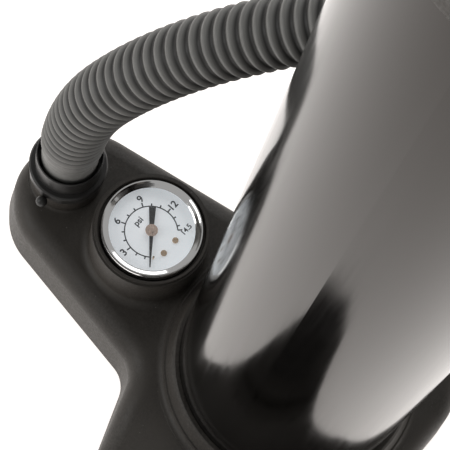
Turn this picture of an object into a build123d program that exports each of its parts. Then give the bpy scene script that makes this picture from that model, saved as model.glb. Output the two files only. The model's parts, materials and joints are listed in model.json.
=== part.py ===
"""Double-action hand pump for inflatable tents: a moulded base with a pressure gauge and a hose port, an upright
metal barrel, a T-handle on a piston rod, two fold-up foot pads and a corrugated hose that ends in a nozzle.

Millimetres, +Z up. The origin is on the barrel's axis at the floor. The gauge and the hose port are towards -Y,
the foot pads are at +X and -X.
"""

import os
from math import pi, radians, tan

from build123d import *

os.makedirs("parts", exist_ok=True)

# Base
FOOT_T = 2.0  # rubber under the base
DECK_Z = 36.0  # top of the base's deck
DRAFT = 4.0  # degrees that the base's sides lean in
TUCK = 2.3  # how far the base narrows at the floor
TUCK_SLOPE = 16.0  # degrees
WALL = 3.0
DECK_ROUND = 9.0
FAR = 200.0  # outside the base on every side
LOBE_END_Y = -144.0
WAIST_X, WAIST_Y = 43.4, -51.0  # where the lobe meets the wing
WING_TIP_X = 150.0
REAR_Y = 52.0
BULGE_Y = 64.0  # back of the base behind the barrel
SLOPE_X = 57.0  # the deck slopes down outside this
HINGE_X = 84.5
HINGE_Z = 20.0
TIP_Z = 12.0
PLATE_T = 3.0

# Barrel and pump
BARREL_R = 47.5
BARREL_T = 1.2
LINER_R = 42.0  # inside
LINER_T = 2.0
FLOOR_Z = 34.0  # what the barrel and the liner stand on
LIP_Z = 46.0  # top of the base's ring round the barrel
BARREL_TOP = 470.0
CAP_TOP = 502.0
ROD_R = 8.0
FIT = 0.06  # running clearance, radial
PISTON_Z = 38.0  # underside of the piston with the handle down
PISTON_T = 20.0
HANDLE_Z = 530.0
GRIP_END = 142.0

# Gauge
GAUGE_Y = -79.2
BOSS_R = 24.4
BOSS_MOUTH_R = 22.3  # the recess round the bezel
BOSS_Z = 59.5
GAUGE_BORE_R = 21.2
DIAL_Z = 55.6
DIAL_R = 19.3
POINTER_AZIMUTH = 38.5  # the pointer's tip at zero

# Hose port and hose
PORT_Y = -124.0
PORT_BORE_R = 8.5
SPIGOT_R = 10.4
COLLAR_R = 16.3
COLLAR_Z = 48.0
COLLAR_TOP = 65.0
CUFF_T = 1.4
CUFF_TOP = 72.0
SEAL_TOP = COLLAR_Z + 1.5
HOSE_R = 13.0
HOSE_BORE_R = 11.2
HOSE_POINTS = [
    (0, PORT_Y, CUFF_TOP),
    (2, -123, 114),
    (-9, -106, 165),
    (-29, -79, 207),
    (-59, -34, 253),
    (-99, 16, 286),
    (-122, 78, 296),
    (-128, 139, 285),
    (-126, 192, 254),
    (-116, 230, 209),
    (-104, 252, 157),
    (-88, 268, 104),
    (-66, 288, 58),
    (-34, 322, 27),
    (14, 354, HOSE_R),
    (72, 366, HOSE_R),
    (130, 350, HOSE_R),
    (172, 308, HOSE_R),
    (190, 258, HOSE_R),
    (186, 206, HOSE_R),
]

WING_POST_Z = 25.5
SCREW_SPOTS = [(21, -106), (-21, -106), (25, -60), (-25, -60), (68, -18), (-68, -18), (68, 34), (-68, 34)]
VALVE_SPOTS = {
    "inlet_valve_lower": (0, 24),
    "outlet_valve_lower": (0, -24),
    "inlet_valve_upper": (24, 0),
    "outlet_valve_upper": (-24, 0),
}
VALVE_R = 11.5
DUCT_TOP = 24.0
VALVE_SEAT_Z = 14.0


def save(builder, name):
    """Label a finished sub-part and write it."""
    builder.part.label = name
    export_step(builder.part, f"parts/{name}.step")


def turned(points, centre=(0, 0), mode=Mode.ADD):
    """A body of revolution about a vertical axis, from (radius, height) points."""
    with BuildSketch(Plane.XZ.offset(-centre[1])) as profile:
        with BuildLine():
            Polyline(*[(centre[0] + r, z) for r, z in points], close=True)
        make_face()
    revolve(profile.sketch, axis=Axis((centre[0], centre[1], 0), (0, 0, 1)), mode=mode)


def ring(inner, outer, low, high, centre=(0, 0), mode=Mode.ADD):
    """An upright ring, or a disc where inner is 0."""
    turned([(inner, low), (outer, low), (outer, high), (inner, high)], centre, mode)


def cove(radius, height, size, centre=(0, 0)):
    """The concave fillet where an upright round boss meets a flat deck."""
    foot, wall = centre[0] + radius + size, centre[0] + radius
    with BuildSketch(Plane.XZ.offset(-centre[1])) as profile:
        with BuildLine():
            Polyline((wall, height + size), (wall - 1, height + size), (wall - 1, height - 1), (foot, height - 1))
            Line((foot, height - 1), (foot, height))
            RadiusArc((foot, height), (wall, height + size), size)
        make_face()
    revolve(profile.sketch, axis=Axis((centre[0], centre[1], 0), (0, 0, 1)))


def plan_outline(inset=0.0, height=FOOT_T):
    """The base's plan as a face, mirrored about its lobe's centre line."""
    with BuildSketch(Plane.XY.offset(height)) as plan:
        with BuildLine():
            FilletPolyline(
                (0, LOBE_END_Y),
                (12.5, LOBE_END_Y),
                (29.8, -128.8),
                (WAIST_X, WAIST_Y),
                (WING_TIP_X, -11),
                (142, 34),
                (120, REAR_Y),
                (62, REAR_Y),
                (34, BULGE_Y),
                (0, BULGE_Y),
                radius=[26.0, 28.0, 12.0, 16.0, 18.0, 18.0, 30.0, 30.0],
            )
            mirror(about=Plane.YZ)
        make_face()
        if inset:
            offset(amount=-inset)
    return plan.sketch


def above_wings(drop):
    """The space over the wings' slopes, as a face seen from the front."""
    with BuildSketch(Plane.XZ) as space:
        with BuildLine():
            FilletPolyline(
                (SLOPE_X - 20, DECK_Z - drop),
                (SLOPE_X, DECK_Z - drop),
                (HINGE_X - 7, HINGE_Z - drop),
                (WING_TIP_X + 10, TIP_Z - drop),
                radius=[40.0, 25.0],
            )
            Polyline(
                (WING_TIP_X + 10, TIP_Z - drop),
                (WING_TIP_X + 10, 80),
                (SLOPE_X - 20, 80),
                (SLOPE_X - 20, DECK_Z - drop),
            )
        make_face()
        mirror(about=Plane.YZ)
    return space.sketch


def base_form(inset=0.0, drop=0.0):
    """The base's plain form with both wings, or, inset and dropped, the hollow under it."""
    with BuildPart() as form:
        extrude(plan_outline(inset), amount=DECK_Z - drop - FOOT_T, taper=DRAFT)
        extrude(above_wings(drop), amount=FAR, both=True, mode=Mode.SUBTRACT)
    return form.part


def route_radii(points):
    """The radius at each corner of a hose's route, as large as its two runs allow."""
    runs = [Vector(*b) - Vector(*a) for a, b in zip(points, points[1:])]
    radii = []
    for before, after in zip(runs, runs[1:]):
        half_turn = radians(before.get_angle(after)) / 2
        radii.append(0.45 * min(before.length, after.length) / tan(half_turn))
    return radii


PAD_SLOPE = (HINGE_Z - TIP_Z) / (WING_TIP_X + 10 - HINGE_X + 7)
AXIS_Z = HINGE_Z - 7 * PAD_SLOPE  # the pads' hinge axis lies in their top surface
KNUCKLE_R = 3.6
PIN_R = 1.5
PIN_Y = (-30.0, 44.0)
PAD_KNUCKLE_Y = (-8.0, 24.0)
BASE_SIDE_X = HINGE_X - 1.2
PAD_SIDE_X = HINGE_X + 1.2
PLATE_SIDE_X = 78.0


def along_hinge(side, radius, low_y, high_y, mode=Mode.ADD):
    """A round bar on a foot pad's hinge axis."""
    with BuildSketch(Plane.XZ.offset(-low_y)) as section:
        with Locations((side * HINGE_X, AXIS_Z)):
            Circle(radius)
    extrude(section.sketch, amount=low_y - high_y, mode=mode)


def box_between(low, high, mode=Mode.ADD):
    """A box from its lowest and highest corners."""
    size = [b - a for a, b in zip(low, high)]
    middle = [(a + b) / 2 for a, b in zip(low, high)]
    with Locations(tuple(middle)):
        Box(*size, mode=mode)


# ---- base ----

with BuildPart() as rounded_form:
    add(base_form())
    tops = [f for f in rounded_form.faces() if f.normal_at().Z > 0.8]
    fillet([e for f in tops for e in f.edges() if abs(e.tangent_at(0.5).Y) < 0.999], DECK_ROUND)
    extrude(plan_outline(TUCK), amount=DECK_Z, taper=-TUCK_SLOPE, mode=Mode.INTERSECT)

outer_form = rounded_form.part
hollow_form = base_form(4.6, WALL)

with BuildPart() as base_shell:
    add(outer_form)
    add(hollow_form, mode=Mode.SUBTRACT)
    box_between((-BASE_SIDE_X, -FAR, 0), (BASE_SIDE_X, FAR, FAR), mode=Mode.INTERSECT)
    for side in (1, -1):
        wall_x = sorted((side * BASE_SIDE_X, side * (BASE_SIDE_X - WALL)))
        box_between((wall_x[0], -33, FOOT_T), (wall_x[1], 47, AXIS_Z - 3))
        for low_y, high_y in ((PIN_Y[0], PAD_KNUCKLE_Y[0] - 0.5), (PAD_KNUCKLE_Y[1] + 0.5, PIN_Y[1])):
            along_hinge(side, KNUCKLE_R, low_y, high_y)
        along_hinge(side, KNUCKLE_R + 0.5, PAD_KNUCKLE_Y[0] - 0.5, PAD_KNUCKLE_Y[1] + 0.5, Mode.SUBTRACT)
        along_hinge(side, PIN_R, PIN_Y[0], PIN_Y[1], Mode.SUBTRACT)
    ring(0, 53.5, 28.0, DECK_Z)
    cove(53.0, DECK_Z, 3.0)
    turned([(BARREL_R - 4, 30), (53.0, 30), (53.0, DECK_Z + 1), (50.2, LIP_Z - 1), (49.2, LIP_Z), (BARREL_R - 4, LIP_Z)])
    ring(0, BOSS_R, DECK_Z - 8, BOSS_Z - 1.2, (0, GAUGE_Y))
    ring(0, BOSS_R - 0.9, DECK_Z - 8, BOSS_Z, (0, GAUGE_Y))
    cove(BOSS_R, DECK_Z, 3.5, (0, GAUGE_Y))
    ring(0, COLLAR_R - 1.5, DUCT_TOP, COLLAR_Z - 1, (0, PORT_Y))
    cove(COLLAR_R - 1.5, DECK_Z, 1.2, (0, PORT_Y))
    ring(0, SPIGOT_R, COLLAR_Z - 2, COLLAR_TOP - 2, (0, PORT_Y))
    for x, y in SCREW_SPOTS:
        ring(0, 4.2, FOOT_T + PLATE_T, WING_POST_Z if abs(x) > 60 else DECK_Z - 2, (x, y))
    ring(0, BARREL_R, FLOOR_Z, LIP_Z + 5, mode=Mode.SUBTRACT)
    ring(0, GAUGE_BORE_R, DIAL_Z - 16, BOSS_Z + 5, (0, GAUGE_Y), Mode.SUBTRACT)
    ring(0, BOSS_MOUTH_R, BOSS_Z - 3, BOSS_Z + 5, (0, GAUGE_Y), Mode.SUBTRACT)
    ring(0, 5.0, 20, BOSS_Z, (0, GAUGE_Y), Mode.SUBTRACT)
    ring(0, PORT_BORE_R, 20, COLLAR_TOP, (0, PORT_Y), Mode.SUBTRACT)
    for x, y in SCREW_SPOTS:
        ring(0, 1.7, FOOT_T + PLATE_T, 16, (x, y), Mode.SUBTRACT)
    for x, y in VALVE_SPOTS.values():
        ring(0, 8.0, 20, FLOOR_Z + 2, (x, y), Mode.SUBTRACT)
save(base_shell, "base_shell")

with BuildPart() as base_plate:
    extrude(plan_outline(5.0), amount=PLATE_T)
    box_between((-PLATE_SIDE_X, -FAR, 0), (PLATE_SIDE_X, FAR, 10), mode=Mode.INTERSECT)
    for x, y in SCREW_SPOTS:
        ring(0, 2.2, 0, 10, (x, y), Mode.SUBTRACT)
        ring(0, 4.2, 0, FOOT_T + 1.6, (x, y), Mode.SUBTRACT)
    with Locations((0, -44, FOOT_T)):
        with GridLocations(7, 0, 7, 1):
            Box(3, 12, 20, mode=Mode.SUBTRACT)
save(base_plate, "base_plate")

with BuildPart() as base_screws:
    for x, y in SCREW_SPOTS:
        ring(0, 3.6, FOOT_T + 0.2, FOOT_T + 1.6, (x, y))
        ring(0, 1.65, FOOT_T + 1.6, 15, (x, y))
        with Locations((x, y, FOOT_T + 0.2)):
            Box(4.2, 0.8, 1.6, mode=Mode.SUBTRACT)
            Box(0.8, 4.2, 1.6, mode=Mode.SUBTRACT)
save(base_screws, "base_screws")

with BuildPart() as base_feet:
    with BuildSketch() as soles:
        Circle(34)
        with Locations((0, -112)):
            SlotOverall(44, 22)
        with Locations((60, 8), (-60, 8)):
            SlotOverall(30, 12, rotation=90)
    extrude(soles.sketch, amount=FOOT_T)
save(base_feet, "base_feet")

# ---- foot pads, which fold up beside the barrel ----

for side, word in ((1, "right"), (-1, "left")):
    pad_x = sorted((side * PAD_SIDE_X, side * FAR))
    with BuildPart() as foot_pad:
        add(outer_form)
        add(hollow_form, mode=Mode.SUBTRACT)
        box_between((pad_x[0], -FAR, 0), (pad_x[1], FAR, FAR), mode=Mode.INTERSECT)
        wall_x = sorted((side * PAD_SIDE_X, side * (PAD_SIDE_X + WALL)))
        box_between((wall_x[0], -32, FOOT_T), (wall_x[1], 47, AXIS_Z - 3))
        for low_y, high_y in ((PIN_Y[0] - 1, PAD_KNUCKLE_Y[0]), (PAD_KNUCKLE_Y[1], PIN_Y[1] + 1)):
            along_hinge(side, KNUCKLE_R + 0.5, low_y, high_y, Mode.SUBTRACT)
        along_hinge(side, KNUCKLE_R, *PAD_KNUCKLE_Y)
        along_hinge(side, PIN_R + FIT, *PIN_Y, Mode.SUBTRACT)
        for y in (-6, 12, 30):
            rib_x = sorted((side * 92, side * 120))
            box_between((rib_x[0], y - 1, FOOT_T), (rib_x[1], y + 1, TIP_Z + 2.5))
    save(foot_pad, f"foot_pad_{word}")

    sole_x = sorted((side * (PAD_SIDE_X + 8), side * FAR))
    with BuildPart() as foot_sole:
        extrude(plan_outline(5.0, 0.0), amount=FOOT_T)
        box_between((sole_x[0], -FAR, -1), (sole_x[1], FAR, 50), Mode.INTERSECT)
    save(foot_sole, f"foot_sole_{word}")

    with BuildPart() as hinge_pin:
        along_hinge(side, PIN_R, *PIN_Y)
    save(hinge_pin, f"hinge_pin_{word}")

    bars = Plane(
        origin=(side * HINGE_X, 0, AXIS_Z),
        x_dir=(side, 0, -PAD_SLOPE),
        z_dir=(side * PAD_SLOPE, 0, 1),
    )
    with BuildPart() as grip_bars:
        with BuildSketch(bars) as marks:
            for index, (low_y, high_y) in enumerate(((-14, 34), (-11, 34), (-7, 34), (-2, 34), (4, 32), (10, 28))):
                with Locations((14 + 8 * index, side * (low_y + high_y) / 2)):
                    SlotOverall(high_y - low_y, 3.4, rotation=90)
        extrude(marks.sketch, amount=1.2)
    save(grip_bars, f"grip_bars_{word}")


# ---- valves and the air duct inside the base ----

with BuildPart() as valve_plate_lower:
    ring(0, 40, 8, VALVE_SEAT_Z + 5)
    for name, (x, y) in VALVE_SPOTS.items():
        ring(0, VALVE_R + 0.4, VALVE_SEAT_Z, 30, (x, y), Mode.SUBTRACT)
        ring(0, 7.0, 0, 30, (x, y), Mode.SUBTRACT)
save(valve_plate_lower, "valve_plate_lower")

with BuildPart() as valve_plate_upper:
    ring(0, 40, VALVE_SEAT_Z + 5, 28)
    for x, y in VALVE_SPOTS.values():
        ring(0, 8.0, 10, 40, (x, y), Mode.SUBTRACT)
save(valve_plate_upper, "valve_plate_upper")

for name, spot in VALVE_SPOTS.items():
    with BuildPart() as valve_disc:
        ring(0, VALVE_R, VALVE_SEAT_Z, VALVE_SEAT_Z + 1.6, spot)
        ring(0, 3.0, VALVE_SEAT_Z + 1.6, VALVE_SEAT_Z + 2.2, spot)
    save(valve_disc, name)

with BuildPart() as air_duct:
    box_between((-12, -134, 8), (12, -40.2, DUCT_TOP))
    box_between((-10, -132.6, 10), (10, -30, DUCT_TOP - 2), mode=Mode.SUBTRACT)
    ring(0, PORT_BORE_R, 20, 30, (0, PORT_Y), Mode.SUBTRACT)
    ring(0, 5.0, 20, 30, (0, GAUGE_Y), Mode.SUBTRACT)
save(air_duct, "air_duct")

# ---- barrel, liner and cap ----

with BuildPart() as barrel_sleeve:
    ring(BARREL_R - BARREL_T, BARREL_R, FLOOR_Z, BARREL_TOP)
save(barrel_sleeve, "barrel_sleeve")

with BuildPart() as cylinder_liner:
    ring(LINER_R, LINER_R + LINER_T, FLOOR_Z, BARREL_TOP)
save(cylinder_liner, "cylinder_liner")

with BuildPart() as liner_seals:
    for low in (FLOOR_Z + 1, BARREL_TOP - 4):
        ring(LINER_R + LINER_T, BARREL_R - BARREL_T, low, low + 2.5)
save(liner_seals, "liner_seals")

CAP_SKIRT_Z = 460.0
CAP_R = 51.5
HUB_R = 17.0
BUSH_R = 11.0
with BuildPart() as top_cap:
    turned(
        [
            (BARREL_R, CAP_SKIRT_Z),
            (CAP_R, CAP_SKIRT_Z),
            (CAP_R, 482),
            (49, 487),
            (30, 494),
            (HUB_R + 3, 496),
            (HUB_R, 499),
            (HUB_R, CAP_TOP - 1),
            (HUB_R - 1, CAP_TOP),
            (BUSH_R, CAP_TOP),
            (BUSH_R, BARREL_TOP),
            (BARREL_R, BARREL_TOP),
        ]
    )
    ring(BUSH_R + 4, BARREL_R - 6, BARREL_TOP + 4, 484, mode=Mode.SUBTRACT)
    rim = top_cap.edges().filter_by(GeomType.CIRCLE).filter_by(lambda e: e.radius > CAP_R - 3 and e.center().Z > 481)
    fillet(rim, 2.4)
    with PolarLocations(CAP_R - 4, 4, start_angle=45):
        with Locations((0, 0, 465)):
            Cylinder(1.7, 20, rotation=(0, 90, 0), mode=Mode.SUBTRACT)
save(top_cap, "top_cap")

with BuildPart() as cap_screws:
    with PolarLocations(CAP_R, 4, start_angle=45):
        with Locations((-1.4, 0, 465)):
            Cylinder(1.65, 5, rotation=(0, 90, 0))
        with Locations((0.9, 0, 465)):
            Cylinder(3.2, 1.6, rotation=(0, 90, 0))
        with Locations((1.5, 0, 465)):
            Box(1.0, 4.4, 0.8, mode=Mode.SUBTRACT)
            Box(1.0, 0.8, 4.4, mode=Mode.SUBTRACT)
save(cap_screws, "cap_screws")

with BuildPart() as rod_bush:
    ring(ROD_R + FIT, BUSH_R, BARREL_TOP, CAP_TOP - 6)
save(rod_bush, "rod_bush")

with BuildPart() as rod_wiper:
    turned([(ROD_R + FIT, 496.4), (BUSH_R, 496.4), (BUSH_R, 501.4), (ROD_R + 1.6, 501.4), (ROD_R + FIT, 499.6)])
save(rod_wiper, "rod_wiper")

# ---- piston, rod and handle ----

PISTON_R = LINER_R - 0.3
PISTON_TOP = PISTON_Z + PISTON_T
with BuildPart() as piston_head:
    ring(0, PISTON_R, PISTON_Z, PISTON_TOP)
    ring(PISTON_R - 4, PISTON_R + 1, PISTON_Z + 3, PISTON_Z + 7, mode=Mode.SUBTRACT)
    ring(PISTON_R - 4, PISTON_R + 1, PISTON_TOP - 7, PISTON_TOP - 3, mode=Mode.SUBTRACT)
    ring(16, PISTON_R - 8, PISTON_Z + 4, PISTON_TOP + 1, mode=Mode.SUBTRACT)
    ring(0, ROD_R + FIT, PISTON_Z + 8, PISTON_TOP + 1, mode=Mode.SUBTRACT)
    ring(0, 3.1, PISTON_Z - 1, PISTON_TOP, mode=Mode.SUBTRACT)
save(piston_head, "piston_head")

with BuildPart() as piston_rings:
    for low in (PISTON_Z + 3, PISTON_TOP - 7):
        ring(PISTON_R - 4, LINER_R - FIT, low, low + 4)
save(piston_rings, "piston_rings")

ROD_TOP = HANDLE_Z + 6
with BuildPart() as piston_rod:
    ring(0, ROD_R, PISTON_Z + 8.1, ROD_TOP)
    ring(0, ROD_R - 1.5, PISTON_Z + 30, ROD_TOP - 12, mode=Mode.SUBTRACT)
    ring(0, 2.5, PISTON_Z, PISTON_Z + 31, mode=Mode.SUBTRACT)
    with Locations((0, 0, HANDLE_Z)):
        Cylinder(2.6, 60, rotation=(0, 90, 0), mode=Mode.SUBTRACT)
save(piston_rod, "piston_rod")

with BuildPart() as rod_bolt:
    ring(0, 2.4, PISTON_Z - 0.2, PISTON_Z + 28)
    ring(0, 5.0, PISTON_Z - 3.2, PISTON_Z - 0.2)
    with Locations((0, 0, PISTON_Z - 3.2)):
        Box(7, 1.2, 2.4, mode=Mode.SUBTRACT)
save(rod_bolt, "rod_bolt")

BUMPER_Z = CAP_TOP + 0.3
with BuildPart() as bump_ring:
    ring(ROD_R, 13.5, BUMPER_Z, BUMPER_Z + 6)
    fillet(bump_ring.edges().filter_by(GeomType.CIRCLE).filter_by(lambda e: e.radius > 13), 1.4)
save(bump_ring, "bump_ring")

HUB_LOW = BUMPER_Z + 6
across = Plane(origin=(0, 0, HANDLE_Z), x_dir=(0, 1, 0), z_dir=(1, 0, 0))
bar_axis = Axis((0, 0, HANDLE_Z), (0, 1, 0))
with BuildPart() as handle_core:
    turned([(0, HUB_LOW), (15, HUB_LOW), (17, HUB_LOW + 4), (17, HANDLE_Z + 12), (13, HANDLE_Z + 17), (0, HANDLE_Z + 17)])
    with BuildSketch(across) as half_bar:
        with BuildLine():
            Polyline((-GRIP_END + 6, 0), (GRIP_END - 6, 0), (GRIP_END - 6, 9), (26, 9), (22, 15), (-22, 15), (-26, 9))
            Line((-26, 9), (-GRIP_END + 6, 9))
            Line((-GRIP_END + 6, 9), (-GRIP_END + 6, 0))
        make_face()
    revolve(half_bar.sketch, axis=bar_axis)
    ring(0, ROD_R, 0, ROD_TOP, mode=Mode.SUBTRACT)
    with Locations((0, 0, HANDLE_Z)):
        Cylinder(2.6, 60, rotation=(0, 90, 0), mode=Mode.SUBTRACT)
        with Locations((17, 0, 0), (-17, 0, 0)):
            Cylinder(5.2, 7, rotation=(0, 90, 0), mode=Mode.SUBTRACT)
save(handle_core, "handle_core")

with BuildPart() as handle_grip_rear:
    with BuildSketch(across) as half_grip:
        with BuildLine():
            Polyline((26.5, 9), (26.5, 14), (29, 15.5))
            ThreePointArc((29, 15.5), (82, 17.5), (134, 15.5))
            ThreePointArc((134, 15.5), (140, 13), (GRIP_END, 7))
            Polyline((GRIP_END, 7), (GRIP_END, 0), (GRIP_END - 6, 0), (GRIP_END - 6, 9), (26.5, 9))
        make_face()
    revolve(half_grip.sketch, axis=bar_axis)
    for index in range(9):
        with BuildSketch(across) as groove:
            with Locations((42 + 10 * index, 18.2)):
                Circle(2.0)
        revolve(groove.sketch, axis=bar_axis, mode=Mode.SUBTRACT)
save(handle_grip_rear, "handle_grip_rear")

with BuildPart() as handle_grip_front:
    mirror(handle_grip_rear.part, about=Plane.XZ)
save(handle_grip_front, "handle_grip_front")

with BuildPart() as handle_bolt:
    with Locations((0, 0, HANDLE_Z)):
        Cylinder(2.5, 31, rotation=(0, 90, 0))
        with Locations((15.3, 0, 0), (-15.3, 0, 0)):
            Cylinder(4.9, 3, rotation=(0, 90, 0))
        with Locations((16.8, 0, 0), (-16.8, 0, 0)):
            Box(2.4, 8, 1.2, mode=Mode.SUBTRACT)
save(handle_bolt, "handle_bolt")

# ---- pressure gauge ----

GAUGE_FLOOR = DIAL_Z - 16
LENS_Z = 58.7
LENS_T = 0.9
with BuildPart() as gauge_case:
    ring(0, GAUGE_BORE_R - 0.5, GAUGE_FLOOR, LENS_Z - 0.6, (0, GAUGE_Y))
    ring(0, GAUGE_BORE_R - 1.7, GAUGE_FLOOR + 1.2, LENS_Z, (0, GAUGE_Y), Mode.SUBTRACT)
    ring(0, 4.0, 0, GAUGE_FLOOR + 5, (0, GAUGE_Y), Mode.SUBTRACT)
save(gauge_case, "gauge_case")

with BuildPart() as gauge_stem:
    ring(0, 6.0, GAUGE_FLOOR + 1.2, GAUGE_FLOOR + 8, (0, GAUGE_Y))
    ring(0, 3.9, DUCT_TOP - 1.5, GAUGE_FLOOR + 1.2, (0, GAUGE_Y))
    ring(0, 1.2, 20, GAUGE_FLOOR + 5, (0, GAUGE_Y), Mode.SUBTRACT)
save(gauge_stem, "gauge_stem")

with BuildPart() as gauge_nut:
    with BuildSketch(Plane.XY.offset(DUCT_TOP)) as hexagon:
        with Locations((0, GAUGE_Y)):
            RegularPolygon(7.5, 6)
            Circle(3.95, mode=Mode.SUBTRACT)
    extrude(hexagon.sketch, amount=3.8)
save(gauge_nut, "gauge_nut")

with BuildPart() as bourdon_tube:
    with BuildSketch(Plane.XZ.offset(-GAUGE_Y)) as section:
        with Locations((14.5, GAUGE_FLOOR + 5)):
            Ellipse(1.2, 2.4)
    revolve(section.sketch, axis=Axis((0, GAUGE_Y, 0), (0, 0, 1)), revolution_arc=265)
save(bourdon_tube, "bourdon_tube")

with BuildPart() as gauge_movement:
    box_between((-9, GAUGE_Y - 5, DIAL_Z - 6.4), (9, GAUGE_Y + 5, DIAL_Z - 5))
    box_between((-9, GAUGE_Y - 5, DIAL_Z - 2.4), (9, GAUGE_Y + 5, DIAL_Z - 1))
    for x in (-7.5, 7.5):
        ring(0, 1.2, DIAL_Z - 8, DIAL_Z - 0.9, (x, GAUGE_Y))
    ring(0, 0.9, 0, 100, (0, GAUGE_Y), Mode.SUBTRACT)
save(gauge_movement, "gauge_movement")

with BuildPart() as gauge_dial:
    ring(1.2, DIAL_R, DIAL_Z, DIAL_Z + 0.6, (0, GAUGE_Y))
save(gauge_dial, "gauge_dial")

SCREW_RING_R = 10.5
STOP_PIN_R = 11.6
with BuildPart() as dial_screws:
    for azimuth in (70, 111):
        spot = Vector(SCREW_RING_R, 0, 0).rotate(Axis.Z, azimuth)
        ring(0, 1.3, DIAL_Z + 0.6, DIAL_Z + 1.1, (spot.X, spot.Y + GAUGE_Y))
        with Locations(Location((spot.X, spot.Y + GAUGE_Y, DIAL_Z + 1.1), azimuth + 35)):
            Box(3, 0.4, 0.4, mode=Mode.SUBTRACT)
    pin = Vector(STOP_PIN_R, 0, 0).rotate(Axis.Z, POINTER_AZIMUTH + 6)
    ring(0, 0.4, DIAL_Z + 0.6, DIAL_Z + 3, (pin.X, pin.Y + GAUGE_Y))
save(dial_screws, "dial_screws")

with BuildPart() as gauge_bezel:
    turned(
        [
            (GAUGE_BORE_R - 0.2, LENS_Z - 5),
            (GAUGE_BORE_R - 0.2, 60.2),
            (GAUGE_BORE_R - 0.5, 60.8),
            (GAUGE_BORE_R - 1.0, 60.8),
            (GAUGE_BORE_R - 1.6, 60.4),
            (18.3, LENS_Z + LENS_T + 0.3),
            (17.8, LENS_Z + LENS_T),
            (19.6, LENS_Z + LENS_T),
            (19.6, LENS_Z - 0.4),
            (GAUGE_BORE_R - 0.4, LENS_Z - 0.4),
            (GAUGE_BORE_R - 0.4, LENS_Z - 5),
        ],
        (0, GAUGE_Y),
    )
save(gauge_bezel, "gauge_bezel")

with BuildPart() as gauge_lens:
    ring(0, 19.5, LENS_Z, LENS_Z + LENS_T, (0, GAUGE_Y))
save(gauge_lens, "gauge_lens")

POINTER_Z = DIAL_Z + 1.5
ARBOR_R = 0.85
with BuildPart() as gauge_pointer:
    tip_way = Vector(1, 0, 0).rotate(Axis.Z, POINTER_AZIMUTH)
    with BuildSketch(Plane(origin=(0, GAUGE_Y, POINTER_Z), x_dir=tip_way, z_dir=(0, 0, 1))) as blade:
        with BuildLine():
            Polyline((-10.2, -1.45), (-3, -1.0), (0, -0.9), (15.6, -0.22), (15.6, 0.22), (0, 0.9))
            Polyline((0, 0.9), (-3, 1.0), (-10.2, 1.45), (-10.2, -1.45))
        make_face()
        Circle(2.0)
        Circle(ARBOR_R, mode=Mode.SUBTRACT)
    extrude(blade.sketch, amount=0.35)
save(gauge_pointer, "gauge_pointer")

with BuildPart() as pointer_hub:
    ring(0, 2.6, POINTER_Z + 0.35, POINTER_Z + 1.1, (0, GAUGE_Y))
    ring(0, 1.2, POINTER_Z + 1.1, POINTER_Z + 1.5, (0, GAUGE_Y))
    ring(0, ARBOR_R, DIAL_Z - 6, POINTER_Z + 0.4, (0, GAUGE_Y))
save(pointer_hub, "pointer_hub")

# ---- hose port, hose and nozzle ----

with BuildPart() as hose_collar:
    turned(
        [
            (SPIGOT_R + 1.7, COLLAR_Z),
            (COLLAR_R - 0.7, COLLAR_Z),
            (COLLAR_R, COLLAR_Z + 0.7),
            (COLLAR_R, COLLAR_Z + 5.3),
            (COLLAR_R - 0.7, COLLAR_Z + 6),
            (13.9, COLLAR_Z + 6),
            (13.9, COLLAR_TOP - 0.3),
            (13.6, COLLAR_TOP),
            (13.3, COLLAR_TOP),
            (13.3, COLLAR_Z + 7),
            (SPIGOT_R + 1.7, COLLAR_Z + 7),
        ],
        (0, PORT_Y),
    )
    for index in range(12):
        face_way = Vector(1, 0, 0).rotate(Axis.Z, 15 + 30 * index)
        flat = Plane(origin=(0, PORT_Y, COLLAR_Z), x_dir=(0, 0, 1), z_dir=face_way).offset(COLLAR_R - 0.42)
        with BuildSketch(flat) as cut:
            Rectangle(5, 10, align=(Align.MIN, Align.CENTER))
        extrude(cut.sketch, amount=3, mode=Mode.SUBTRACT)
    with Locations((COLLAR_R + 1.9, PORT_Y + 1.7, COLLAR_Z)):
        Sphere(2.4)
save(hose_collar, "hose_collar")

with BuildPart() as port_seal:
    ring(SPIGOT_R, SPIGOT_R + CUFF_T, COLLAR_Z - 1, SEAL_TOP, (0, PORT_Y))
save(port_seal, "port_seal")

with BuildPart() as hose_cuff:
    ring(SPIGOT_R, SPIGOT_R + CUFF_T, SEAL_TOP, CUFF_TOP, (0, PORT_Y))
save(hose_cuff, "hose_cuff")

hose_radii = route_radii(HOSE_POINTS)
hose_start = Vector(*HOSE_POINTS[1]) - Vector(*HOSE_POINTS[0])
with BuildPart() as hose:
    with BuildLine() as route:
        FilletPolyline(*HOSE_POINTS, radius=hose_radii)
    with BuildSketch(Plane(origin=HOSE_POINTS[0], x_dir=(0, 1, 0), z_dir=hose_start)):
        Circle(HOSE_R)
        Circle(HOSE_BORE_R, mode=Mode.SUBTRACT)
    sweep(path=route.wire())
save(hose, "hose")
hose_length = route.wire().length
section_area = pi * (HOSE_R**2 - HOSE_BORE_R**2)
print("hose length", round(hose_length, 1), "bend radii", [round(r) for r in hose_radii])
print("hose volume over section times length", round(hose.part.volume / (section_area * hose_length), 4))

hose_end = Vector(*HOSE_POINTS[-1])
end_way = (hose_end - Vector(*HOSE_POINTS[-2])).normalized()
end_axis = Axis(hose_end, end_way)
end_section = Plane(origin=hose_end, x_dir=(0, 0, 1), z_dir=Vector(0, 0, 1).cross(end_way))


def turned_on_end(points):
    """A body of revolution on the hose's last run, from (radius, distance) points."""
    with BuildSketch(end_section) as profile:
        with BuildLine():
            Polyline(*points, close=True)
        make_face()
    revolve(profile.sketch, axis=end_axis)


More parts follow.
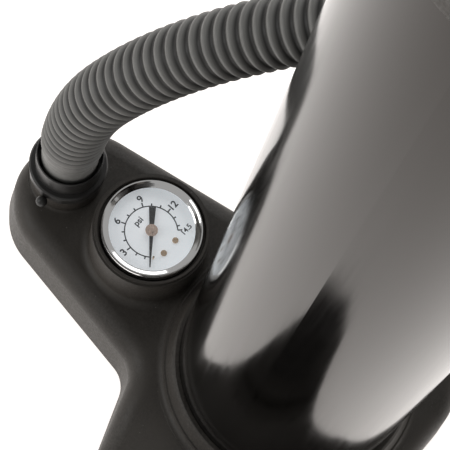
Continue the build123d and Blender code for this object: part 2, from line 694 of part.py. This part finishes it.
NOZZLE_BORE_R = 6.5
with BuildPart() as nozzle_cuff:
    turned_on_end([(9.6, 0), (HOSE_R - 0.1, 0), (HOSE_R - 0.1, 18), (HOSE_R - 1.5, 22), (9.6, 22)])
save(nozzle_cuff, "nozzle_cuff")

with BuildPart() as nozzle:
    turned_on_end(
        [
            (NOZZLE_BORE_R, 4),
            (9.6, 4),
            (9.6, 22),
            (12.8, 22),
            (12.8, 27),
            (10.2, 27),
            (10.2, 29.5),
            (8.6, 29.5),
            (8.6, 33),
            (9.4, 33),
            (9.4, 46),
            (8.4, 56),
            (NOZZLE_BORE_R, 56),
        ]
    )
save(nozzle, "nozzle")

with BuildPart() as nozzle_seal:
    turned_on_end([(8.6, 29.5), (10.4, 29.5), (10.8, 30.5), (10.8, 32), (10.4, 33), (8.6, 33)])
save(nozzle_seal, "nozzle_seal")
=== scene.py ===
"""Looks for the double-action hand pump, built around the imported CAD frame, in metres and in its axes."""

import json
import math

import bmesh
import bpy
from mathutils import Matrix, Vector


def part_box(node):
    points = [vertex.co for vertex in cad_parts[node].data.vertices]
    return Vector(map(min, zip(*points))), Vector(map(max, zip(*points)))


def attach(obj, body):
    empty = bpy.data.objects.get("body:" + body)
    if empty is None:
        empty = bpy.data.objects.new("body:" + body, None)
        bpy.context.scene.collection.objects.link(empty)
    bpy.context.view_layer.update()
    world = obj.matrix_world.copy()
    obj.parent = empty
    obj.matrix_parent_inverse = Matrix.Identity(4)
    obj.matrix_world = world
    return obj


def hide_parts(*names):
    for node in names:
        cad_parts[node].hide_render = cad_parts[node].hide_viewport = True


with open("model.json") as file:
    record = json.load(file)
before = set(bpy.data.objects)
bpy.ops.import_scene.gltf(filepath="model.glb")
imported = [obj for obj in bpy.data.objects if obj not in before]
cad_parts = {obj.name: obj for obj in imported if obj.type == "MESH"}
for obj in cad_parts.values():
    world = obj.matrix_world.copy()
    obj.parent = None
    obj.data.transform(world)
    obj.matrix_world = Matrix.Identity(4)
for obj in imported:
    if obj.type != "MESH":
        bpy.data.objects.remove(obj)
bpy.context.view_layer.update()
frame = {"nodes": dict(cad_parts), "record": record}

MM = 0.001

# ---- camera ----

CAMERA_PLACE = Vector((0.244091, 0.029835, 0.828260))
CAMERA_AIM = Vector((-0.042235, -0.065128, 0.0))
CAMERA_ROLL = -0.40277
LENS = 160.0  # millimetres, like the sensor's width
SENSOR_WIDTH = 36.0
CLIP_END = 20.0


def make_camera():
    """A long lens looking steeply down at the gauge and the hose port."""
    forward = (CAMERA_AIM - CAMERA_PLACE).normalized()
    level = forward.cross(Vector((0, 0, 1))).normalized()
    down = forward.cross(level)
    c, s = math.cos(CAMERA_ROLL), math.sin(CAMERA_ROLL)
    right = level * c + down * s
    below = down * c - level * s
    turn = Matrix((right, -below, -forward)).transposed().to_4x4()
    data = bpy.data.cameras.new("camera")
    data.lens = LENS
    data.sensor_width = SENSOR_WIDTH
    data.clip_end = CLIP_END
    camera = bpy.data.objects.new("camera", data)
    camera.matrix_world = Matrix.Translation(CAMERA_PLACE) @ turn
    bpy.context.collection.objects.link(camera)
    bpy.context.scene.camera = camera


make_camera()

# ---- hose ----

HOSE_POINTS = [
    (0, -0.124, 0.072),
    (0.002, -0.123, 0.114),
    (-0.009, -0.106, 0.165),
    (-0.029, -0.079, 0.207),
    (-0.059, -0.034, 0.253),
    (-0.099, 0.016, 0.286),
    (-0.122, 0.078, 0.296),
    (-0.128, 0.139, 0.285),
    (-0.126, 0.192, 0.254),
    (-0.116, 0.230, 0.209),
    (-0.104, 0.252, 0.157),
    (-0.088, 0.268, 0.104),
    (-0.066, 0.288, 0.058),
    (-0.034, 0.322, 0.027),
    (0.014, 0.354, 0.013),
    (0.072, 0.366, 0.013),
    (0.130, 0.350, 0.013),
    (0.172, 0.308, 0.013),
    (0.190, 0.258, 0.013),
    (0.186, 0.206, 0.013),
]
HOSE_D = 0.026
CUFF_R = 0.0118  # the smooth end of the hose inside the collar
RIDGE_PITCH = 0.0054
GROOVE_DEPTH = 0.0014
RIDGES_GROWING = 4  # the ridges over which the grooves reach their full depth
RIDGES_FLARING = 2  # the ridges over which the cuff widens to the hose
RINGS_PER_RIDGE = 8
HOSE_SIDES = 48
ROUTE_STEPS = 32


def route_points(points):
    """Points along the smooth NURBS line that the route's points control."""
    curve = bpy.data.curves.new("hose_route", "CURVE")
    curve.dimensions = "3D"
    curve.resolution_u = ROUTE_STEPS
    spline = curve.splines.new("NURBS")
    spline.points.add(len(points) - 1)
    for control, place in zip(spline.points, points):
        control.co = (*place, 1)
    spline.order_u = 3
    spline.use_endpoint_u = True
    holder = bpy.data.objects.new("hose_route", curve)
    line = bpy.data.meshes.new_from_object(holder)
    places = [v.co.copy() for v in line.vertices]
    bpy.data.objects.remove(holder)
    bpy.data.curves.remove(curve)
    bpy.data.meshes.remove(line)
    return places


def evenly(places, step):
    """The same line, as points an even step apart."""
    reach = [0.0]
    for a, b in zip(places, places[1:]):
        reach.append(reach[-1] + (b - a).length)
    count = round(reach[-1] / step)
    even, index = [], 0
    for k in range(count + 1):
        goal = reach[-1] * k / count
        while index < len(places) - 2 and reach[index + 1] < goal:
            index += 1
        share = (goal - reach[index]) / max(reach[index + 1] - reach[index], 1e-9)
        even.append(places[index].lerp(places[index + 1], share))
    return even


def hose_groove(reach):
    """The share of a groove's depth at a distance from the hose's start, 0 on a crest and 1 at the bottom."""
    ridges = reach / RIDGE_PITCH
    wave = 0.5 - 0.5 * math.cos(2 * math.pi * ridges)
    return (1 - wave) * min(ridges / RIDGES_GROWING, 1.0)


def hose_radius(reach):
    """The corrugated hose's outer radius at a distance from its start."""
    flare = min(reach / (RIDGE_PITCH * RIDGES_FLARING), 1.0)
    return CUFF_R + (HOSE_D / 2 - CUFF_R) * flare - GROOVE_DEPTH * hose_groove(reach)


def tube(name, places, radius_at, groove_at):
    """A closed tube round a line, whose radius varies along it, with its grooves marked for the material's
    painted shade.
    """
    mesh = bpy.data.meshes.new(name)
    form = bmesh.new()
    rings, grooves, reach = [], [], 0.0
    side = Vector((1, 0, 0))
    for k, place in enumerate(places):
        ahead = places[min(k + 1, len(places) - 1)] - places[max(k - 1, 0)]
        along = ahead.normalized()
        side = (side - along * side.dot(along)).normalized()
        other = along.cross(side)
        if k:
            reach += (place - places[k - 1]).length
        r = radius_at(reach)
        grooves += [groove_at(reach)] * HOSE_SIDES
        turns = [2 * math.pi * i / HOSE_SIDES for i in range(HOSE_SIDES)]
        spokes = [side * math.cos(t) + other * math.sin(t) for t in turns]
        rings.append([form.verts.new(place + r * spoke) for spoke in spokes])
    for ring, following in zip(rings, rings[1:]):
        for i in range(HOSE_SIDES):
            j = (i + 1) % HOSE_SIDES
            form.faces.new((ring[i], ring[j], following[j], following[i]))
    form.faces.new(reversed(rings[0]))
    form.faces.new(rings[-1])
    form.to_mesh(mesh)
    form.free()
    mesh.shade_smooth()
    # The groove depth at each ring, kept for the material to paint shade into the grooves.
    mesh.attributes.new("groove", "FLOAT", "POINT").data.foreach_set("value", grooves)
    piece = bpy.data.objects.new(name, mesh)
    bpy.context.collection.objects.link(piece)
    return piece


hose_line = evenly(route_points(HOSE_POINTS), RIDGE_PITCH / RINGS_PER_RIDGE)
hose = tube("corrugated_hose", hose_line, hose_radius, hose_groove)
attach(hose, "base")
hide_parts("hose")

# ---- materials ----

# Noise scales are in features per metre, and the depths of bumps and the radii of edges are in metres.

HOSE_CREST = ((0.165, 0.164, 0.157), (0.19, 0.189, 0.181))
# The near-black of the painted shade in the hose's grooves.
HOSE_GROOVE_PAINTED_SHADE = (0.02, 0.0197, 0.0187)
RUBBER = ((0.018, 0.018, 0.018), (0.032, 0.031, 0.03))
DUST = (0.12, 0.115, 0.105)
PATCHY = (0.35, 0.65)  # the part of a soft noise's range that is spread from one colour to the other
EVEN = (0.3, 0.7)  # the same, for a finer noise
DRAWN = (1, 1, 0.05)  # a noise that is stretched along Z, as on drawn or brushed metal


class Look:
    """A material's node tree, with the few calls that the finishes below share."""

    def __init__(self, name):
        self.material = bpy.data.materials.new(name)
        self.material.use_nodes = True
        self.nodes = self.material.node_tree.nodes
        self.shader = self.nodes["Principled BSDF"]
        self.place = self.node("ShaderNodeTexCoord").outputs["Object"]
        self.normal = None

    def node(self, kind, **inputs):
        """A new node, with a value or another node's output for each named input."""
        made = self.nodes.new(kind)
        for name, value in inputs.items():
            self.join(value, made.inputs[name.replace("_", " ")])
        return made

    def join(self, value, socket):
        if isinstance(value, bpy.types.NodeSocket):
            self.material.node_tree.links.new(value, socket)
        else:
            socket.default_value = value

    def set(self, **inputs):
        """The same for the material's own shader."""
        for name, value in inputs.items():
            self.join(value, self.shader.inputs[name.replace("_", " ")])
        return self

    def noise(self, scale, detail=2.0, roughness=0.5, stretch=None):
        """A value between 0 and 1 that varies over the object, stretched along an axis where asked."""
        place = self.place
        if stretch:
            place = self.node("ShaderNodeMapping", Vector=place, Scale=stretch).outputs["Vector"]
        return self.node(
            "ShaderNodeTexNoise", Vector=place, Scale=scale, Detail=detail, Roughness=roughness
        ).outputs["Fac"]

    def spread(self, value, low, high, to_low=0.0, to_high=1.0):
        """A value's stretch from low to high, mapped to another range and held at its ends."""
        made = self.node("ShaderNodeMapRange", Value=value)
        made.inputs["From Min"].default_value = low
        made.inputs["From Max"].default_value = high
        made.inputs["To Min"].default_value = to_low
        made.inputs["To Max"].default_value = to_high
        return made.outputs["Result"]

    def blend(self, share, first, second):
        """A colour between two colours."""
        made = self.nodes.new("ShaderNodeMix")
        made.data_type = "RGBA"
        self.join(share, made.inputs["Factor"])
        colours = [s for s in made.inputs if s.type == "RGBA"]
        self.join((*first, 1.0) if isinstance(first, tuple) else first, colours[0])
        self.join((*second, 1.0) if isinstance(second, tuple) else second, colours[1])
        return [s for s in made.outputs if s.type == "RGBA"][0]

    def rounded(self, radius):
        """Edges that catch the light as if they had a small radius."""
        made = self.nodes.new("ShaderNodeBevel")
        made.samples = 4
        made.inputs["Radius"].default_value = radius
        self.normal = made.outputs["Normal"]
        return self

    def bump(self, height, depth):
        """A surface that a value raises by up to a depth."""
        made = self.node("ShaderNodeBump", Height=height, Distance=depth, Strength=1.0)
        if self.normal:
            self.join(self.normal, made.inputs["Normal"])
        self.normal = made.outputs["Normal"]
        return self

    def done(self):
        """The finished material."""
        if self.normal:
            self.join(self.normal, self.shader.inputs["Normal"])
        return self.material


def grained_plastic(name, dark, light, roughness=0.5, edge=0.0006, grain=0.00006):
    """Black moulded plastic with a fine spark-eroded grain and a few pale dust specks."""
    look = Look(name).rounded(edge)
    patches = look.spread(look.noise(30.0, 3.0), *PATCHY)
    fine = look.noise(1100.0, 3.0, 0.6)
    specks = look.spread(look.noise(700.0, 1.0), 0.77, 0.80)
    colour = look.blend(patches, dark, light)
    colour = look.blend(look.spread(fine, 0.38, 0.64), colour, light)
    colour = look.blend(specks, colour, DUST)
    look.set(Base_Color=colour, Specular_IOR_Level=0.34)
    look.set(Roughness=look.spread(look.noise(900.0), *EVEN, roughness - 0.08, roughness + 0.08))
    look.bump(fine, grain)
    return look.done()


def smooth_plastic(name, dark, light, roughness=0.35, edge=0.0004, painted_glow=0.0):
    """Plain moulded plastic with the soft unevenness of a moulding, or a pale face that glows a little as
    painted light.
    """
    look = Look(name).rounded(edge)
    colour = look.blend(look.spread(look.noise(40.0, 3.0), *PATCHY), dark, light)
    look.set(Base_Color=colour, Emission_Color=colour, Emission_Strength=painted_glow)
    look.set(Roughness=look.spread(look.noise(260.0), *EVEN, roughness - 0.07, roughness + 0.07))
    look.bump(look.noise(1200.0, 2.0), 0.00002)
    return look.done()


def hose_plastic(name):
    """Grey blown hose, a little paler and duller where it has been handled, with painted shade darkening its
    grooves.
    """
    look = Look(name)
    crest = look.blend(look.spread(look.noise(60.0, 4.0), *PATCHY), *HOSE_CREST)
    groove = look.nodes.new("ShaderNodeAttribute")
    groove.attribute_name = "groove"
    # Painted shade: the deeper the groove, the closer the colour comes to the near-black groove shade.
    colour = look.blend(look.spread(groove.outputs["Fac"], 0.3, 0.85), crest, HOSE_GROOVE_PAINTED_SHADE)
    look.set(Base_Color=colour, Specular_IOR_Level=0.45)
    look.set(Roughness=look.spread(look.noise(500.0), *EVEN, 0.42, 0.56))
    look.bump(look.noise(1500.0, 3.0), 0.00003)
    return look.done()


def rubber(name):
    """Soft black rubber with a fine, dull surface."""
    look = Look(name).rounded(0.0005)
    colour = look.blend(look.spread(look.noise(120.0, 3.0), *PATCHY), *RUBBER)
    look.set(Base_Color=colour, Specular_IOR_Level=0.3, Roughness=0.72)
    look.bump(look.noise(2400.0, 2.0), 0.00005)
    return look.done()


def polished(name, colour, roughness, streaks=None, edge=0.0):
    """Metal with a little wear in its polish, in streaks where the wear is given a stretch."""
    look = Look(name)
    if edge:
        look.rounded(edge)
    look.set(Base_Color=(*colour, 1.0), Metallic=1.0)
    wear = look.noise(400.0, 3.0, 0.6, streaks)
    look.set(Roughness=look.spread(wear, *EVEN, roughness * 0.75, roughness * 1.25))
    look.bump(wear, 0.000004)
    return look.done()


def printed(name, colour):
    """Dull print or enamel."""
    look = Look(name)
    worn = tuple(c * 0.85 for c in colour)
    shade = look.blend(look.spread(look.noise(900.0, 2.0), *EVEN), colour, worn)
    look.set(Base_Color=shade, Roughness=0.5)
    return look.done()


def clear_lens(name):
    """Clear flat cover, which lets nearly all the light through to the dial."""
    look = Look(name)
    look.set(Base_Color=(0.9, 0.95, 1.0, 1.0), Alpha=0.04)
    look.set(Roughness=look.spread(look.noise(300.0), *EVEN, 0.02, 0.06))
    return look.done()


MATERIALS = {
    "base_plastic": grained_plastic("base_plastic", (0.027, 0.0238, 0.0208), (0.052, 0.0466, 0.0405)),
    "grip_black": smooth_plastic("grip_black", (0.018, 0.0175, 0.017), (0.028, 0.027, 0.026)),
    "barrel_steel": polished("barrel_steel", (0.026, 0.0225, 0.0198), 0.1, streaks=DRAWN),
    "bezel_chrome": polished("bezel_chrome", (0.95, 0.95, 0.95), 0.08),
    "lens_clear": clear_lens("lens_clear"),
    # The dial's glow is painted light, brightening a face that sits shaded under its lens and bezel.
    "dial_white": smooth_plastic("dial_white", (0.84, 0.88, 0.91), (0.88, 0.91, 0.94), 0.45, painted_glow=0.32),
    "pointer_black": printed("pointer_black", (0.015, 0.015, 0.015)),
    "brass": polished("brass", (0.80, 0.61, 0.43), 0.22),
    "hub_copper": polished("hub_copper", (0.86, 0.68, 0.58), 0.18, edge=0.0002),
    "hose_grey": hose_plastic("hose_grey"),
    "rubber_black": rubber("rubber_black"),
    "steel": polished("steel", (0.62, 0.61, 0.60), 0.14, streaks=DRAWN),
    "zinc": polished("zinc", (0.55, 0.56, 0.56), 0.3, edge=0.0002),
    "inner_plastic": smooth_plastic("inner_plastic", (0.36, 0.37, 0.38), (0.42, 0.43, 0.44), 0.5),
    "liner_aluminium": polished("liner_aluminium", (0.75, 0.76, 0.77), 0.25, streaks=DRAWN),
}

for subpart in frame["record"]["subparts"]:
    node = frame["nodes"][subpart["node"]]
    for material_slot in node.material_slots:
        material_slot.material = MATERIALS[subpart["material_slot"]]
hose.data.materials.append(MATERIALS["hose_grey"])

# ---- dial ----

dial_low, dial_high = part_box("gauge_dial")
DIAL_CENTRE = Vector(((dial_low.x + dial_high.x) / 2, (dial_low.y + dial_high.y) / 2, dial_high.z))
PRINT_H = 0.04 * MM
ARC_AZIMUTH = 38.5  # the pointer at rest, and the scale's start
ZERO_AZIMUTH = 46.6  # where a linear scale would have its zero
DEGREES_PER_PSI = 18.66
FULL_SCALE = 14.5
SCALE_R = 10.95 * MM
ARC_HALF_WIDTH = 0.24 * MM
ARC_STEPS = 90
TICK_HALF_WIDTH = 0.28 * MM
LONG_TICK = 1.9 * MM
SHORT_TICK = 1.2 * MM
NUMBER_R = 14.5 * MM
NUMBER_H = 3.1 * MM
LAST_NUMBER_H = 2.3 * MM
UNIT_H = 2.7 * MM
UNIT_OFFSET = Vector((0.3 * MM, -6.7 * MM, PRINT_H / 2))
FONT_SIZE = 1.38  # the font's size over the height of its digits
BOLDNESS = 0.028  # how far a stroke's edge moves out, over the same height


def dial_point(psi, radius, height=0.0):
    """A place over the dial at a reading."""
    turn = math.radians(ZERO_AZIMUTH - psi * DEGREES_PER_PSI)
    return DIAL_CENTRE + Vector((radius * math.cos(turn), radius * math.sin(turn), height))


def on_dial(piece):
    """A printed piece belongs to the gauge, which rides on the base."""
    piece.data.materials.append(MATERIALS["pointer_black"])
    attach(piece, "base")


def print_scale():
    """The scale's arc and its ticks, as one thin raised print."""
    form = bmesh.new()

    def bar(outline):
        """A raised patch over an outline on the dial."""
        foot = [form.verts.new(p) for p in outline]
        top = [form.verts.new(p + Vector((0, 0, PRINT_H))) for p in outline]
        form.faces.new(top)
        form.faces.new(reversed(foot))
        for i in range(len(foot)):
            j = (i + 1) % len(foot)
            form.faces.new((foot[i], foot[j], top[j], top[i]))

    first = (ZERO_AZIMUTH - ARC_AZIMUTH) / DEGREES_PER_PSI
    readings = [first + (FULL_SCALE - first) * k / ARC_STEPS for k in range(ARC_STEPS + 1)]
    inner = [dial_point(psi, SCALE_R - ARC_HALF_WIDTH) for psi in readings]
    outer = [dial_point(psi, SCALE_R + ARC_HALF_WIDTH) for psi in readings]
    for k in range(ARC_STEPS):
        bar([inner[k + 1], outer[k + 1], outer[k], inner[k]])
    ticks = [(psi, LONG_TICK if psi % 3 == 0 else SHORT_TICK) for psi in range(1, 15)]
    ticks += [(first, SHORT_TICK), (FULL_SCALE, LONG_TICK)]
    for psi, length in ticks:
        start, end = dial_point(psi, SCALE_R), dial_point(psi, SCALE_R + length)
        across = (end - start).cross(Vector((0, 0, 1))).normalized() * TICK_HALF_WIDTH
        bar([start - across, start + across, end + across, end - across])
    mesh = bpy.data.meshes.new("dial_scale")
    bmesh.ops.recalc_face_normals(form, faces=form.faces)
    form.to_mesh(mesh)
    form.free()
    piece = bpy.data.objects.new("dial_scale", mesh)
    bpy.context.collection.objects.link(piece)
    on_dial(piece)


def print_text(name, words, place, height):
    """Words on the dial, upright towards -Y."""
    curve = bpy.data.curves.new(name, "FONT")
    curve.body = words
    curve.size = height * FONT_SIZE
    curve.align_x = "CENTER"
    curve.align_y = "CENTER"
    curve.offset = height * BOLDNESS
    curve.extrude = PRINT_H / 2
    holder = bpy.data.objects.new(name, curve)
    mesh = bpy.data.meshes.new_from_object(holder)
    bpy.data.objects.remove(holder)
    mesh.name = name
    mesh.transform(Matrix.Translation(place) @ Matrix.Rotation(math.pi, 4, "Z"))
    piece = bpy.data.objects.new(name, mesh)
    bpy.context.collection.objects.link(piece)
    on_dial(piece)


print_scale()
for psi in (3, 6, 9, 12, FULL_SCALE):
    words = str(psi)
    height = LAST_NUMBER_H if psi == FULL_SCALE else NUMBER_H
    print_text("dial_" + words.replace(".", "_"), words, dial_point(psi, NUMBER_R, PRINT_H / 2), height)
print_text("dial_unit", "psi", DIAL_CENTRE + UNIT_OFFSET, UNIT_H)

# ---- studio ----

FLOOR_HALF_SIZE = 4.0
FLOOR_GLOW = 0.9  # the barrel mirrors the floor, so the floor gives off some of its own light
FLOOR_GLOW_COLOUR = (1.0, 0.945, 0.905, 1.0)
SKY_COLOUR = (1.0, 0.99, 0.975, 1.0)
SKY_STRENGTH = 0.33
LIGHT_AIM = Vector((0, -0.1, 0.05))
LIGHT_SIZE = 0.9
LIGHTS = {"key": (Vector((1.1, -1.1, 0.9)), 6.5), "fill": (Vector((-1.0, -0.5, 0.8)), 4.0)}  # place and power


def make_floor():
    """A plain pale floor, which isn't part of the pump."""
    mesh = bpy.data.meshes.new("floor")
    form = bmesh.new()
    bmesh.ops.create_grid(form, x_segments=1, y_segments=1, size=FLOOR_HALF_SIZE)
    form.to_mesh(mesh)
    form.free()
    floor = bpy.data.objects.new("floor", mesh)
    bpy.context.collection.objects.link(floor)
    look = Look("floor")
    shade = look.blend(look.spread(look.noise(3.0), *EVEN), (0.86, 0.86, 0.86), (0.9, 0.9, 0.9))
    look.set(Base_Color=shade, Roughness=0.9)
    look.set(Emission_Color=FLOOR_GLOW_COLOUR, Emission_Strength=FLOOR_GLOW)
    mesh.materials.append(look.done())


def make_light(name, place, power):
    """A soft square light turned towards the gauge and the hose port."""
    data = bpy.data.lights.new(name, "AREA")
    data.shape = "SQUARE"
    data.size = LIGHT_SIZE
    data.energy = power
    light = bpy.data.objects.new(name, data)
    turn = (LIGHT_AIM - place).to_track_quat("-Z", "Y").to_matrix().to_4x4()
    light.matrix_world = Matrix.Translation(place) @ turn
    bpy.context.collection.objects.link(light)


def make_sky():
    """An even pale surrounding."""
    world = bpy.data.worlds.new("studio")
    world.use_nodes = True
    background = world.node_tree.nodes["Background"]
    background.inputs["Color"].default_value = SKY_COLOUR
    background.inputs["Strength"].default_value = SKY_STRENGTH
    bpy.context.scene.world = world


make_floor()
make_sky()
for light_name, (light_place, light_power) in LIGHTS.items():
    make_light(light_name, light_place, light_power)
bpy.context.scene.view_settings.view_transform = "Standard"
